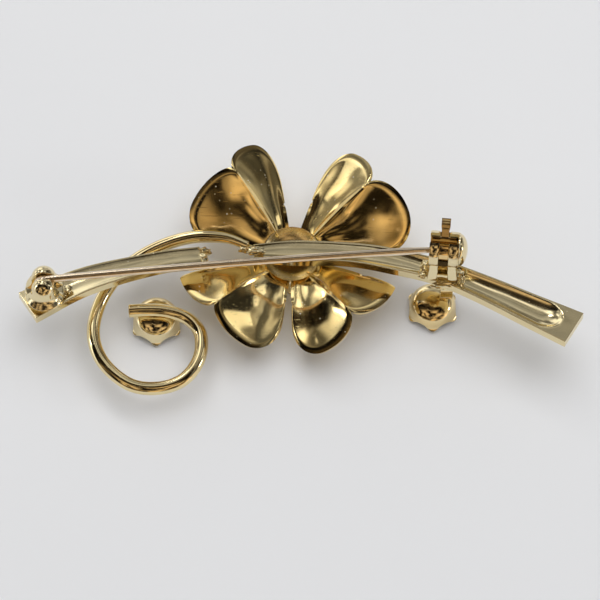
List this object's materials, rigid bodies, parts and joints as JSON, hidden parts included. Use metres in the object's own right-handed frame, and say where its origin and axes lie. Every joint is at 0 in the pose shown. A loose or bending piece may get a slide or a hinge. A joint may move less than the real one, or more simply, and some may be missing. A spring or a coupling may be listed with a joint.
{
  "type": "brooch",
  "caption": "Gold-toned flower spray brooch with heart-shaped petals, a curled wire tendril, prong-set stones, a ball-jointed pin and a safety catch.",
  "frame": {"origin": "under the middle of the whole brooch, on the surface that it lies on face down", "axes": "+X along the stem from the ball joint to the catch, +Z out of the brooch's back"},
  "size_m": [0.0626, 0.0298, 0.0127],
  "materials": {
    "gold_plate": "polished pale yellow gold plate with fine wear",
    "clear_stone": "clear faceted glass"
  },
  "bodies": {
    "frame": {"petal_1": "gold_plate", "petal_2": "gold_plate", "petal_3": "gold_plate", "petal_4": "gold_plate", "flower_hub": "gold_plate", "centre_setting": "gold_plate", "centre_stone": "clear_stone", "stem_left": "gold_plate", "stem_right": "gold_plate", "tendril": "gold_plate", "tendril_setting": "gold_plate", "tendril_stone": "clear_stone", "stem_setting": "gold_plate", "stem_stone": "clear_stone", "setting_strap": "gold_plate", "ball_joint": "gold_plate", "hinge_rivet": "gold_plate", "catch_body": "gold_plate"},
    "pin": {"pin_stem": "gold_plate"},
    "rotor": {"catch_rotor": "gold_plate"}
  },
  "joints": [
    {"name": "pin_hinge", "type": "hinge", "parent": "frame", "child": "pin", "pos_m": [-0.02833, -0.00389, 0.00904], "axis": [0.0678, -0.9759, 0.2074], "range_deg": [0, 105]},
    {"name": "catch_turn", "type": "hinge", "parent": "frame", "child": "rotor", "pos_m": [0.01591, -0.00046, 0.01071], "axis": [0.9945, -0.1022, 0.0217], "range_deg": [0, 100]}
  ]
}
